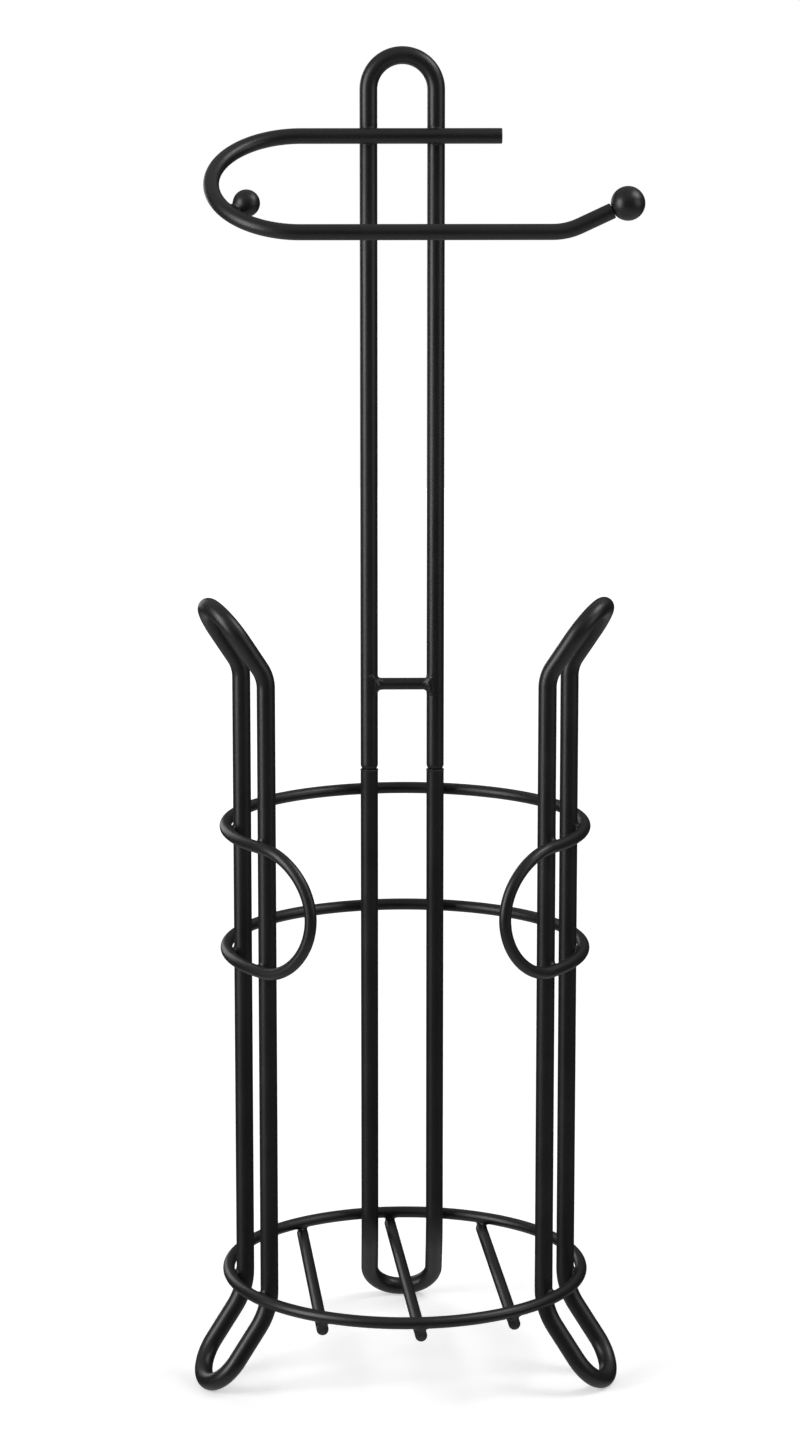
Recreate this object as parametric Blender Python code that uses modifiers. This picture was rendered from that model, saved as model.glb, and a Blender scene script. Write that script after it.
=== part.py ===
"""Free-standing toilet paper holder with a reserve basket.

A lower stand of three bent-tube leg frames carries a wire basket for spare rolls. An
upper section, a hairpin of the same tube with a bent roll arm, plugs onto two pins at
the back. Everything is set out round the basket's upright axis, with the opening of the
basket towards -Y and the floor at Z = 0.
"""
import math

import bmesh
import bpy
from mathutils import Vector

MM = 0.001

# Stock
TUBE_R = 4.0 * MM          # leg frames and upper post, 8 mm tube
TUBE_WALL = 1.0 * MM
WIRE_R = 2.65 * MM          # basket rings and basket floor, 5.3 mm wire
CROSSBAR_R = 2.75 * MM
ROD_R = 3.5 * MM           # roll arm, 7 mm rod
WELD_GAP = 0.3 * MM        # clearance left where two pieces are welded or seated

# Basket
RING_R = 80.0 * MM         # to the middle of the wire
BOTTOM_RING_Z = 45.6 * MM
GUARD_LOW_Z = 195.4 * MM
GUARD_HIGH_Z = 251.0 * MM
GUARD_END_ANGLE = math.radians(58.4)    # how far forward of the X axis the guard reaches
FLOOR_WIRE_PITCH = 42.3 * MM
FLOOR_WIRE_REACH = 81.0 * MM            # radius on which the floor wires end
FLOOR_TURN = math.radians(4.0)          # the floor grid sits slightly turned in its ring

# Leg frames
SIDE_ANGLE = math.radians(20.7)         # how far forward of the X axis the side frames sit
SIDE_PITCH = 31.9 * MM
REAR_PITCH = 30.4 * MM
FOOT_KNEE_Z = 38.5 * MM
FOOT_LENGTH = 42.4 * MM
FOOT_LEAN = math.radians(35.0)
FOOT_KNEE_R = 30.0 * MM
HEAD_KNEE_Z = 324.8 * MM
HEAD_LENGTH = 35.4 * MM
HEAD_LEAN = math.radians(33.7)
HEAD_KNEE_R = 16.0 * MM

# Upper section
SEAM_Z = 261.7 * MM
POST_TOP_Z = 591.6 * MM
CROSSBAR_Z = 301.6 * MM
PIN_R = 2.5 * MM
PIN_ABOVE_SEAM = 45.0 * MM
PIN_BELOW_SEAM = 28.0 * MM
PIN_TIP = 1.0 * MM                      # chamfer on the pin's ends

# Roll arm
ARM_BAR_Z = 552.0 * MM
ARM_BAR_END_X = 44.6 * MM
ARM_LOOP_R = 39.5 * MM
ARM_LOOP_X = -45.3 * MM                 # where both straights run into the loop
ARM_LOOP_TILT = math.radians(61.4)      # from hanging straight down, towards the front
ARM_KNEE_X = 70.0 * MM
ARM_KNEE_R = 28.0 * MM
ARM_RISE = math.radians(25.0)
ARM_TIP_LENGTH = 21.6 * MM
END_BALL_R = 7.5 * MM
STOP_BALL_R = 6.0 * MM
STOP_BALL_TURN = math.radians(127.0)    # round the loop from the top bar
STOP_BALL_LIFT = math.radians(6.5)     # out of the loop's plane, upwards
STUD_R = 2.0 * MM
STUD_HOLE_R = 2.35 * MM
STUD_DEPTH = 8.0 * MM

# Mesh fineness
TUBE_BEVEL = 4             # a curve's bevel resolution: 12 sides
BEND_STEP = math.radians(12.0)
RING_STEP = math.radians(6.0)

# Worked out from the sizes above
TUBE_CIRCLE_R = RING_R - WIRE_R - WELD_GAP - TUBE_R     # the rings wrap round the tubes
FLOOR_WIRE_Z = BOTTOM_RING_Z - 2 * WIRE_R - WELD_GAP


def frame_offset(pitch):
    """Distance from the basket's axis to the plane of a frame's two tubes."""
    return math.sqrt(TUBE_CIRCLE_R ** 2 - (pitch / 2) ** 2)


POST_Y = frame_offset(REAR_PITCH)
ARM_BAR_Y = POST_Y - TUBE_R - WELD_GAP - ROD_R
ARM_Y = ARM_BAR_Y - 2 * ARM_LOOP_R * math.sin(ARM_LOOP_TILT)
ARM_Z = ARM_BAR_Z - 2 * ARM_LOOP_R * math.cos(ARM_LOOP_TILT)
ARM_TIP_AXIS = Vector((math.cos(ARM_RISE), 0.0, math.sin(ARM_RISE)))
ARM_END = Vector((ARM_KNEE_X, ARM_Y, ARM_Z)) + ARM_TIP_AXIS * ARM_TIP_LENGTH
# The arm's end stays clear of the rim of the ball's hole
TIP_TO_BALL = math.sqrt(END_BALL_R ** 2 - STUD_HOLE_R ** 2) + WELD_GAP
END_BALL = ARM_END + ARM_TIP_AXIS * TIP_TO_BALL

# The origin is under the middle of the whole object, not under the basket's axis
FOOT_SPREAD = FOOT_LENGTH * math.sin(FOOT_LEAN)
SIDE_REACH = (
    (frame_offset(SIDE_PITCH) + FOOT_SPREAD - SIDE_PITCH / 2 * math.sin(FOOT_LEAN))
    * math.cos(SIDE_ANGLE)
    + SIDE_PITCH / 2 * math.hypot(math.sin(FOOT_LEAN) * math.cos(SIDE_ANGLE), math.sin(SIDE_ANGLE))
    + TUBE_R
)
BALL_REACH = END_BALL.x + END_BALL_R
REAR_REACH = POST_Y + FOOT_SPREAD + TUBE_R
FRONT_REACH = RING_R + WIRE_R
AXIS = Vector(((SIDE_REACH - BALL_REACH) / 2, (FRONT_REACH - REAR_REACH) / 2, 0.0))


# ---------------------------------------------------------------- scene and materials

def clear_scene():
    """Remove whatever the file opened with."""
    for item in list(bpy.data.objects):
        bpy.data.objects.remove(item, do_unlink=True)


def collection(name):
    """A new collection linked to the scene."""
    made = bpy.data.collections.new(name)
    bpy.context.scene.collection.children.link(made)
    return made


def finish(obj, colour, roughness, metallic):
    """Give one object its own material."""
    material = bpy.data.materials.new(obj.name + "_finish")
    material.use_nodes = True
    shader = material.node_tree.nodes["Principled BSDF"]
    shader.inputs["Base Color"].default_value = (*colour, 1.0)
    shader.inputs["Roughness"].default_value = roughness
    shader.inputs["Metallic"].default_value = metallic
    obj.data.materials.clear()
    obj.data.materials.append(material)


def powder_coat(obj):
    """Satin black powder coat over steel."""
    finish(obj, (0.022, 0.022, 0.023), 0.45, 0.0)


def bare_steel(obj):
    """Zinc-plated steel that stays out of sight."""
    finish(obj, (0.56, 0.56, 0.58), 0.35, 1.0)


# ---------------------------------------------------------------- centrelines

def arc(centre, start, side, radius, sweep, step=BEND_STEP):
    """Points from centre + start * radius, turning towards side, both unit vectors."""
    count = max(2, math.ceil(abs(sweep) / step))
    return [
        centre + (start * math.cos(sweep * i / count) + side * math.sin(sweep * i / count)) * radius
        for i in range(count + 1)
    ]


def knee(before, corner, after, radius):
    """The arc that eases the corner of two straights."""
    into = (corner - before).normalized()
    away = (after - corner).normalized()
    turn = into.angle(away)
    inward = (away - into).normalized()
    centre = corner + inward * (radius / math.cos(turn / 2))
    start = corner - into * radius * math.tan(turn / 2)
    return arc(centre, (start - centre).normalized(), into, radius, turn)


def hairpin(corner, lean, length, half, upward):
    """The U-bend that joins two leaning tubes, from the +Y tube to the -Y one."""
    along = Vector((math.sin(lean), 0.0, upward * math.cos(lean)))
    centre = corner + along * (length - half)
    return arc(centre, Vector((0.0, 1.0, 0.0)), along, half, math.pi)


def foot(pitch):
    """One foot, from the +Y leg round to the -Y leg, in a frame that faces +X."""
    half = pitch / 2
    middle = Vector((frame_offset(pitch), 0.0, FOOT_KNEE_Z))
    bend = hairpin(middle, FOOT_LEAN, FOOT_LENGTH, half, -1.0)
    points = []
    for side, toe in ((1.0, bend[0]), (-1.0, bend[-1])):
        corner = middle + Vector((0.0, side * half, 0.0))
        ease = knee(corner + Vector((0.0, 0.0, 1.0)), corner, toe, FOOT_KNEE_R)
        points += ease + bend if side > 0 else ease[::-1]
    return points


def head(pitch):
    """The leaning top of a side frame, from the -Y leg round to the +Y leg."""
    half = pitch / 2
    middle = Vector((frame_offset(pitch), 0.0, HEAD_KNEE_Z))
    bend = hairpin(middle, HEAD_LEAN, HEAD_LENGTH, half, 1.0)[::-1]
    points = []
    for side, tip in ((-1.0, bend[0]), (1.0, bend[-1])):
        corner = middle + Vector((0.0, side * half, 0.0))
        ease = knee(corner - Vector((0.0, 0.0, 1.0)), corner, tip, HEAD_KNEE_R)
        points += ease + bend if side < 0 else ease[::-1]
    return points


def on_basket(angle, z):
    """A point on the basket's wire circle, at an angle from +X towards +Y."""
    return Vector((RING_R * math.cos(angle), RING_R * math.sin(angle), z))


def ring_run(start, end, z):
    """Points along the basket's wire circle."""
    count = math.ceil(abs(end - start) / RING_STEP)
    return [on_basket(start + (end - start) * i / count, z) for i in range(count + 1)]


def guard_centreline():
    """Two hoops at two heights, joined at the front by a C-bend on either side."""
    middle = (GUARD_HIGH_Z + GUARD_LOW_Z) / 2
    bend_r = (GUARD_HIGH_Z - GUARD_LOW_Z) / 2
    right = -(GUARD_END_ANGLE - bend_r / RING_R)
    left = math.pi - right
    count = math.ceil(math.pi / BEND_STEP)
    turns = [math.pi / 2 - math.pi * i / count for i in range(1, count)]
    points = ring_run(right, left, GUARD_HIGH_Z)
    points += [
        on_basket(left + bend_r / RING_R * math.cos(a), middle + bend_r * math.sin(a))
        for a in turns
    ]
    points += ring_run(left, right, GUARD_LOW_Z)
    points += [
        on_basket(right - bend_r / RING_R * math.cos(a), middle - bend_r * math.sin(a))
        for a in turns
    ]
    return points


def arm_centreline():
    """Top bar, loop down and forward, roll bar, and the tip that turns up."""
    drop = Vector((0.0, -math.sin(ARM_LOOP_TILT), -math.cos(ARM_LOOP_TILT)))
    centre = Vector((ARM_LOOP_X, ARM_BAR_Y, ARM_BAR_Z)) + drop * ARM_LOOP_R
    corner = Vector((ARM_KNEE_X, ARM_Y, ARM_Z))
    points = [Vector((ARM_BAR_END_X, ARM_BAR_Y, ARM_BAR_Z))]
    points += arc(centre, -drop, Vector((-1.0, 0.0, 0.0)), ARM_LOOP_R, math.pi, math.radians(9.0))
    points += knee(corner - Vector((1.0, 0.0, 0.0)), corner, ARM_END, ARM_KNEE_R)
    points.append(ARM_END)
    return points


# ---------------------------------------------------------------- solids

def keep(obj, group, parent=None):
    """Put an object in its collection and under its parent."""
    group.objects.link(obj)
    obj.parent = parent
    return obj


def bar(name, points, radius, group, parent, closed=False, hollow=False):
    """A round bar, or a tube, along a centreline."""
    curve = bpy.data.curves.new(name + "_line", "CURVE")
    curve.dimensions = "3D"
    curve.bevel_depth = radius
    curve.bevel_resolution = TUBE_BEVEL
    curve.use_fill_caps = not (closed or hollow)
    spline = curve.splines.new("POLY")
    spline.points.add(len(points) - 1)
    for knot, point in zip(spline.points, points):
        knot.co = (*point, 1.0)
    spline.use_cyclic_u = closed

    drawn = bpy.data.objects.new(name + "_line", curve)
    bpy.context.scene.collection.objects.link(drawn)
    bpy.context.view_layer.update()
    mesh = bpy.data.meshes.new_from_object(drawn.evaluated_get(bpy.context.evaluated_depsgraph_get()))
    bpy.data.objects.remove(drawn, do_unlink=True)

    shell = bmesh.new()
    shell.from_mesh(mesh)
    bmesh.ops.remove_doubles(shell, verts=shell.verts, dist=0.00001)
    bmesh.ops.recalc_face_normals(shell, faces=shell.faces)
    for face in shell.faces:
        face.smooth = len(face.verts) == 4
    shell.to_mesh(mesh)
    shell.free()

    obj = keep(bpy.data.objects.new(name, mesh), group, parent)
    if hollow:
        wall = obj.modifiers.new("wall", "SOLIDIFY")
        wall.thickness = TUBE_WALL
        wall.offset = -1.0
        wall.use_even_offset = True
    return obj


def turned(name, profile, group, parent, sides=24):
    """A solid of revolution about its own Z axis, from (radius, height) pairs."""
    mesh = bpy.data.meshes.new(name)
    mesh.from_pydata(
        [(radius, 0.0, height) for radius, height in profile],
        [(i, i + 1) for i in range(len(profile) - 1)],
        [],
    )
    obj = keep(bpy.data.objects.new(name, mesh), group, parent)
    screw = obj.modifiers.new("turn", "SCREW")
    screw.steps = sides
    screw.render_steps = sides
    screw.use_merge_vertices = True
    screw.merge_threshold = 0.00001
    screw.use_normal_flip = True
    return obj


def ball(name, radius, place, group, parent):
    """A steel ball."""
    shape = bmesh.new()
    bmesh.ops.create_uvsphere(shape, u_segments=28, v_segments=16, radius=radius)
    for face in shape.faces:
        face.smooth = True
    mesh = bpy.data.meshes.new(name)
    shape.to_mesh(mesh)
    shape.free()
    obj = keep(bpy.data.objects.new(name, mesh), group, parent)
    obj.location = place
    return obj


def cut(obj, cutter):
    """Take the cutter's shape out of an object."""
    modifier = obj.modifiers.new("cut_" + cutter.name, "BOOLEAN")
    modifier.operation = "DIFFERENCE"
    modifier.solver = "EXACT"
    modifier.object = cutter


def block_cutter(name, size, place, cutters, parent):
    """A box that only cuts."""
    shape = bmesh.new()
    bmesh.ops.create_cube(shape, size=1.0)
    bmesh.ops.scale(shape, vec=size, verts=shape.verts)
    return as_cutter(name, shape, place, cutters, parent)


def drill(name, radius, length, place, axis, cutters, parent):
    """A cylinder that only cuts, centred on a place along an axis."""
    shape = bmesh.new()
    bmesh.ops.create_cone(
        shape, cap_ends=True, segments=24, radius1=radius, radius2=radius, depth=length
    )
    cutter = as_cutter(name, shape, place, cutters, parent)
    cutter.rotation_euler = axis.to_track_quat("Z", "Y").to_euler()
    return cutter


def as_cutter(name, shape, place, cutters, parent):
    """Store a cutting shape as a hidden wireframe object."""
    mesh = bpy.data.meshes.new(name)
    shape.to_mesh(mesh)
    shape.free()
    obj = keep(bpy.data.objects.new(name, mesh), cutters, parent)
    obj.location = place
    obj.display_type = "WIRE"
    obj.hide_render = True
    return obj


# ---------------------------------------------------------------- lower stand

def build_side_frames(group, cutters, axis):
    """The two closed leg frames, each one loop of tube, mirrored left and right."""
    loop = foot(SIDE_PITCH) + head(SIDE_PITCH)
    for name, turn in (
        ("left_side_frame", math.pi + SIDE_ANGLE),
        ("right_side_frame", -SIDE_ANGLE),
    ):
        frame = bar(name, loop, TUBE_R, group, axis, closed=True)
        frame.rotation_euler.z = turn
        level_foot(frame, SIDE_PITCH, turn, cutters, axis)
        powder_coat(frame)


def build_rear_frame(group, cutters, axis):
    """The rear leg frame: a tube hairpin whose open ends stand up at the seam."""
    offset = frame_offset(REAR_PITCH)
    ends = [Vector((offset, side * REAR_PITCH / 2, SEAM_Z)) for side in (1.0, -1.0)]
    frame = bar(
        "rear_leg_frame", [ends[0], *foot(REAR_PITCH), ends[1]], TUBE_R, group, axis, hollow=True
    )
    frame.rotation_euler.z = math.pi / 2
    level_foot(frame, REAR_PITCH, math.pi / 2, cutters, axis)
    powder_coat(frame)


def level_foot(frame, pitch, turn, cutters, axis):
    """Trim a foot's underside to a small flat on the floor."""
    reach = frame_offset(pitch) + FOOT_SPREAD
    place = Vector((math.cos(turn) * reach, math.sin(turn) * reach, -2.0 * MM))
    floor = block_cutter(
        frame.name + "_floor", (60.0 * MM, 60.0 * MM, 4.0 * MM), place, cutters, axis
    )
    cut(frame, floor)


def build_basket(group, axis):
    """The wire basket: guard, bottom ring and three floor wires."""
    guard = bar("guard_hoop", guard_centreline(), WIRE_R, group, axis, closed=True)
    powder_coat(guard)
    ring = bar(
        "bottom_ring", ring_run(0.0, 2 * math.pi, BOTTOM_RING_Z)[:-1], WIRE_R, group, axis, closed=True
    )
    powder_coat(ring)
    for name, step in (("left", -1), ("middle", 0), ("right", 1)):
        shift = step * FLOOR_WIRE_PITCH
        reach = math.sqrt(FLOOR_WIRE_REACH ** 2 - shift ** 2)
        ends = [Vector((shift, side * reach, FLOOR_WIRE_Z)) for side in (-1.0, 1.0)]
        wire = bar("floor_wire_" + name, ends, WIRE_R, group, axis)
        wire.rotation_euler.z = FLOOR_TURN
        powder_coat(wire)


def build_pins(group, axis):
    """The two pins that stand in the rear frame and carry the upper section."""
    low, high = -PIN_BELOW_SEAM, PIN_ABOVE_SEAM
    profile = [
        (0.0, low),
        (PIN_R - PIN_TIP, low),
        (PIN_R, low + PIN_TIP),
        (PIN_R, high - PIN_TIP),
        (PIN_R - PIN_TIP, high),
        (0.0, high),
    ]
    for name, side in (("left", -1.0), ("right", 1.0)):
        pin = turned("joint_pin_" + name, profile, group, axis, sides=16)
        pin.location = (side * REAR_PITCH / 2, POST_Y, SEAM_Z)
        bare_steel(pin)


# ---------------------------------------------------------------- upper section

def build_upper_post(group, lift):
    """The hairpin of tube that carries the roll arm, and its crossbar."""
    half = REAR_PITCH / 2
    foot_z = SEAM_Z + WELD_GAP
    centre = Vector((0.0, 0.0, POST_TOP_Z - TUBE_R - half - SEAM_Z))
    bend = arc(centre, Vector((-1.0, 0.0, 0.0)), Vector((0.0, 0.0, 1.0)), half, math.pi)
    ends = [Vector((side * half, 0.0, foot_z - SEAM_Z)) for side in (-1.0, 1.0)]
    post = bar("upper_post", [ends[0], *bend, ends[1]], TUBE_R, group, lift, hollow=True)
    powder_coat(post)

    reach = half - TUBE_R - WELD_GAP
    level = CROSSBAR_Z - SEAM_Z
    ends = [Vector((side * reach, 0.0, level)) for side in (-1.0, 1.0)]
    crossbar = bar("post_crossbar", ends, CROSSBAR_R, group, lift)
    powder_coat(crossbar)


def build_roll_arm(group, cutters, lift):
    """The bent arm with its end ball, the ball's stud and the stop ball."""
    base = Vector((0.0, POST_Y, SEAM_Z))
    arm = bar("roll_arm", [p - base for p in arm_centreline()], ROD_R, group, lift)
    hole = STUD_DEPTH + WELD_GAP
    cut(arm, drill("arm_hole", STUD_HOLE_R, 2 * hole, ARM_END - base, ARM_TIP_AXIS, cutters, lift))
    powder_coat(arm)

    end_ball = ball("end_ball", END_BALL_R, END_BALL - base, group, lift)
    end_ball.rotation_euler = ARM_TIP_AXIS.to_track_quat("Z", "Y").to_euler()
    mouth = END_BALL - ARM_TIP_AXIS * END_BALL_R
    depth = 2 * (STUD_DEPTH + WELD_GAP - (TIP_TO_BALL - END_BALL_R))
    cut(end_ball, drill("ball_hole", STUD_HOLE_R, depth, mouth - base, ARM_TIP_AXIS, cutters, lift))
    powder_coat(end_ball)

    profile = [(0.0, -STUD_DEPTH), (STUD_R, -STUD_DEPTH), (STUD_R, STUD_DEPTH), (0.0, STUD_DEPTH)]
    stud = turned("end_ball_stud", profile, group, lift, sides=16)
    stud.location = ARM_END - base
    stud.rotation_euler = ARM_TIP_AXIS.to_track_quat("Z", "Y").to_euler()
    powder_coat(stud)

    drop = Vector((0.0, -math.sin(ARM_LOOP_TILT), -math.cos(ARM_LOOP_TILT)))
    rise = Vector((0.0, -math.cos(ARM_LOOP_TILT), math.sin(ARM_LOOP_TILT)))
    outward = Vector((-math.sin(STOP_BALL_TURN), 0.0, 0.0)) - drop * math.cos(STOP_BALL_TURN)
    centre = Vector((ARM_LOOP_X, ARM_BAR_Y, ARM_BAR_Z)) + drop * ARM_LOOP_R
    seat = ROD_R + WELD_GAP + STOP_BALL_R
    place = centre + outward * (ARM_LOOP_R - seat * math.cos(STOP_BALL_LIFT))
    place += rise * seat * math.sin(STOP_BALL_LIFT)
    stop_ball = ball("stop_ball", STOP_BALL_R, place - base, group, lift)
    powder_coat(stop_ball)


def main():
    """Build the whole holder."""
    clear_scene()
    group = collection("toilet_paper_holder")
    cutters = collection("cutters")
    axis = keep(bpy.data.objects.new("basket_axis", None), group)
    axis.location = AXIS
    lift = keep(bpy.data.objects.new("lift_axis", None), group, axis)
    lift.location = (0.0, POST_Y, SEAM_Z)

    build_side_frames(group, cutters, axis)
    build_rear_frame(group, cutters, axis)
    build_basket(group, axis)
    build_pins(group, axis)
    build_upper_post(group, lift)
    build_roll_arm(group, cutters, lift)
    bpy.context.view_layer.update()


main()
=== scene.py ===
"""Looks for the free-standing toilet paper holder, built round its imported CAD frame.

One Geometry Nodes tree draws every bar and tube along its centreline, a second one fills
the joints with weld, and the balls and the stud are turned. The whole holder wears satin
black powder coat, apart from the two plated pins that its upper half stands on.
"""
import logging
import math
from collections.abc import Sequence
from dataclasses import dataclass, field
from enum import Enum

import bmesh
import bpy
from bpy.types import Material, Mesh, Node, NodeSocket, NodeTree, Object
from mathutils import Matrix, Vector


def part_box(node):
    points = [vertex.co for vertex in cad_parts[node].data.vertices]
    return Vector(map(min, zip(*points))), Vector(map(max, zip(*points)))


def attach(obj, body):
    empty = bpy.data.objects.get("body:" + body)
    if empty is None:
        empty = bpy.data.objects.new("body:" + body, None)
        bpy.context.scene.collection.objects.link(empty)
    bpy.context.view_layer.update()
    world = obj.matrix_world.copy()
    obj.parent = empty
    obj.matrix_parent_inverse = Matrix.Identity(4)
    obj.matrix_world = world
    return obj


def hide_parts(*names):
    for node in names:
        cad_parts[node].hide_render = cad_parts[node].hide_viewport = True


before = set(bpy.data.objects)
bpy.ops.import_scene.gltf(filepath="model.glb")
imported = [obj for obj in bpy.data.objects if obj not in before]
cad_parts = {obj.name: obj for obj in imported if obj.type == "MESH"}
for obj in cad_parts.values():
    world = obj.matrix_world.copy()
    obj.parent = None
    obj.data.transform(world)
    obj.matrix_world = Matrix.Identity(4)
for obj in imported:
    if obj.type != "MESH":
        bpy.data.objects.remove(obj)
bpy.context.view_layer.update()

MM = 0.001
UP = Vector((0.0, 0.0, 1.0))
CREASE = math.radians(38.0)       # sharper edges stay crisp
MATH = "ShaderNodeMath"
LOG = logging.getLogger("toilet_paper_holder")
Profile = list[tuple[float, float]]
Input = Node | NodeSocket | float | int | bool | tuple | str


# ---- node helpers

def linear(code: str) -> tuple[float, float, float, float]:
    """Turn an sRGB hex colour into a linear one.

    Args:
        code: Colour such as "#1a2b3c".

    Returns:
        Linear red, green, blue and an alpha of 1.
    """
    parts = [int(code[i:i + 2], 16) / 255 for i in (1, 3, 5)]
    red, green, blue = (
        part / 12.92 if part <= 0.04045 else ((part + 0.055) / 1.055) ** 2.4 for part in parts
    )
    return red, green, blue, 1.0


def feed(node: Node, inputs: dict[int | str, Input]) -> Node:
    """Set or link a node's inputs.

    Args:
        node: The node.
        inputs: What each input takes, by its name or number: a value, a socket, or a node,
            which stands for its first output.

    Returns:
        The same node.
    """
    for key, value in inputs.items():
        if isinstance(value, Node):
            value = value.outputs[0]
        if isinstance(value, NodeSocket):
            node.id_data.links.new(value, node.inputs[key])
        else:
            node.inputs[key].default_value = value
    return node


def add(
    tree: NodeTree, kind: str, inputs: dict[int | str, Input] | None = None, **settings: object
) -> Node:
    """Add a node with its settings and links.

    Args:
        tree: Tree the node goes in.
        kind: Identifier of the node's type.
        inputs: What its inputs take.
        **settings: The node's own properties.

    Returns:
        The new node.
    """
    node = tree.nodes.new(kind)
    for name, value in settings.items():
        setattr(node, name, value)
    return feed(node, inputs or {})


# ---- finishes

@dataclass(frozen=True)
class Finish:
    """What every finish starts from."""

    name: str

    def start(self) -> tuple[Material, NodeTree, Node, NodeSocket]:
        """Start the material.

        Returns:
            The material, its tree, its shader and the object coordinates.
        """
        material = bpy.data.materials.new(self.name)
        material.use_nodes = True
        tree = material.node_tree
        place = add(tree, "ShaderNodeTexCoord").outputs["Object"]
        return material, tree, tree.nodes["Principled BSDF"], place


@dataclass(frozen=True)
class SatinPowderCoat(Finish):
    """Polyester powder coat, sprayed dry and baked on steel.

    The film is near-black and satin: a soft sheen broken by fine grain, a little orange
    peel, and a thinner and paler film on cut edges, which is also a painted highlight on rims and cut
    ends.
    """

    name: str = "powder_coat_satin_black_baked"
    film: str = "#0f0f10"
    # Pale coat for cut edges and clouds; at rims and cut ends it is also a painted highlight
    thin_film_and_highlight: str = "#303031"
    roughness: float = 0.36
    roughness_swing: float = 0.07
    ior: float = 1.5
    grain: float = 0.8 * MM         # the real grain is about 0.2 mm, drawn coarser so it shows
    orange_peel: float = 2.6 * MM
    cloud: float = 28.0 * MM        # how far apart the film grows thicker and thinner
    mottle: float = 0.22            # how much paler the clouds of thinner film are
    relief: float = 0.05 * MM       # height of the grain and of the orange peel

    def make(self) -> Material:
        """Build the material.

        Returns:
            The finished material.
        """
        material, tree, shader, place = self.start()
        wear_and_highlight = add(tree, "ShaderNodeAttribute", attribute_name="wear_and_highlight").outputs["Fac"]
        grain, peel, cloud = (
            add(tree, "ShaderNodeTexNoise", {
                "Vector": place, "Scale": 1.0 / size, "Detail": detail, "Roughness": rough,
            })
            for size, detail, rough in (
                (self.grain, 3.0, 0.6), (self.orange_peel, 1.0, 0.4), (self.cloud, 3.0, 0.55),
            )
        )
        half = self.roughness_swing / 2
        patchy, speck, sheen = (
            add(tree, "ShaderNodeMapRange", {
                "Value": noise, "From Min": low, "From Max": high, "To Min": least, "To Max": most,
            })
            for noise, low, high, least, most in (
                (grain, 0.35, 0.65, 0.25, 1.0),     # cut edges hold less powder, in patches; the patches also carry the painted rim highlight
                (grain, 0.58, 0.78, 0.0, 0.28),
                (cloud, 0.3, 0.7, self.roughness - half, self.roughness + half),
            )
        )
        # Paler at the ends: partly a thinner coat, partly a painted highlight on the rims
        thin_coat_and_highlight = add(tree, MATH, {0: wear_and_highlight, 1: patchy}, operation="MULTIPLY", use_clamp=True)
        mottle = add(tree, MATH, {0: cloud, 1: self.mottle, 2: speck}, operation="MULTIPLY_ADD")
        blend = add(tree, MATH, {0: mottle, 1: thin_coat_and_highlight}, operation="ADD", use_clamp=True)
        colour = add(tree, "ShaderNodeMix", {
            "Factor": blend, 6: linear(self.film), 7: linear(self.thin_film_and_highlight),
        }, data_type="RGBA")
        rough = add(tree, MATH, {0: grain, 1: 0.06, 2: sheen}, operation="MULTIPLY_ADD")
        waves = add(tree, "ShaderNodeBump", {"Height": peel, "Strength": 0.35, "Distance": self.relief})
        grains = add(tree, "ShaderNodeBump", {
            "Height": grain, "Normal": waves, "Strength": 0.45, "Distance": self.relief,
        })
        feed(shader, {
            "Base Color": colour.outputs[2], "Roughness": rough, "Normal": grains, "IOR": self.ior,
        })
        return material


@dataclass(frozen=True)
class ZincPlatedSteel(Finish):
    """Turned steel, bright zinc plated.

    A pale metal with a cool grey tint, fine rings left by the lathe and a cloudy passivate.
    """

    name: str = "zinc_plated_steel_turned"
    bright: str = "#c3c6ca"
    dull: str = "#9a9da1"
    roughness: float = 0.3
    ring_pitch: float = 0.5 * MM    # lathe marks, about 0.1 mm apart in the metal, drawn coarser
    cloud: float = 6.0 * MM

    def make(self) -> Material:
        """Build the material.

        Returns:
            The finished material.
        """
        material, tree, shader, place = self.start()
        cloud = add(tree, "ShaderNodeTexNoise", {
            "Vector": place, "Scale": 1.0 / self.cloud, "Detail": 4.0, "Roughness": 0.6,
        })
        rings = add(tree, "ShaderNodeTexWave", {
            "Vector": place, "Scale": 1.0 / (self.ring_pitch * 20.0), "Distortion": 0.4, "Detail": 2.0,
        }, wave_type="BANDS", bands_direction="Z", wave_profile="SAW")
        colour = add(tree, "ShaderNodeMix", {
            "Factor": cloud, 6: linear(self.bright), 7: linear(self.dull),
        }, data_type="RGBA")
        rough = add(tree, MATH, {0: cloud, 1: 0.2, 2: self.roughness - 0.1}, operation="MULTIPLY_ADD")
        marks = add(tree, "ShaderNodeBump", {
            "Height": rings.outputs["Fac"], "Strength": 0.2, "Distance": 0.03 * MM,
        })
        feed(shader, {
            "Base Color": colour.outputs[2], "Roughness": rough, "Normal": marks, "Metallic": 1.0,
        })
        return material


class Slot(Enum):
    """Material slots of the record."""

    COAT = "powder_coat"
    STEEL = "bare_steel"


# ---- centrelines

BEND_STEP = math.radians(3.0)
RING_STEP = math.radians(2.5)


def arc(
    centre: Vector, start: Vector, side: Vector, radius: float, sweep: float, step: float = BEND_STEP
) -> list[Vector]:
    """Points round a bend.

    Args:
        centre: Middle of the bend.
        start: Unit vector from the centre to the first point.
        side: Unit vector the bend turns towards.
        radius: Radius of the bend.
        sweep: Angle turned through.
        step: Largest angle between two points.

    Returns:
        The points, both ends included.
    """
    count = max(2, math.ceil(abs(sweep) / step))
    return [
        centre + (start * math.cos(sweep * i / count) + side * math.sin(sweep * i / count)) * radius
        for i in range(count + 1)
    ]


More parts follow.
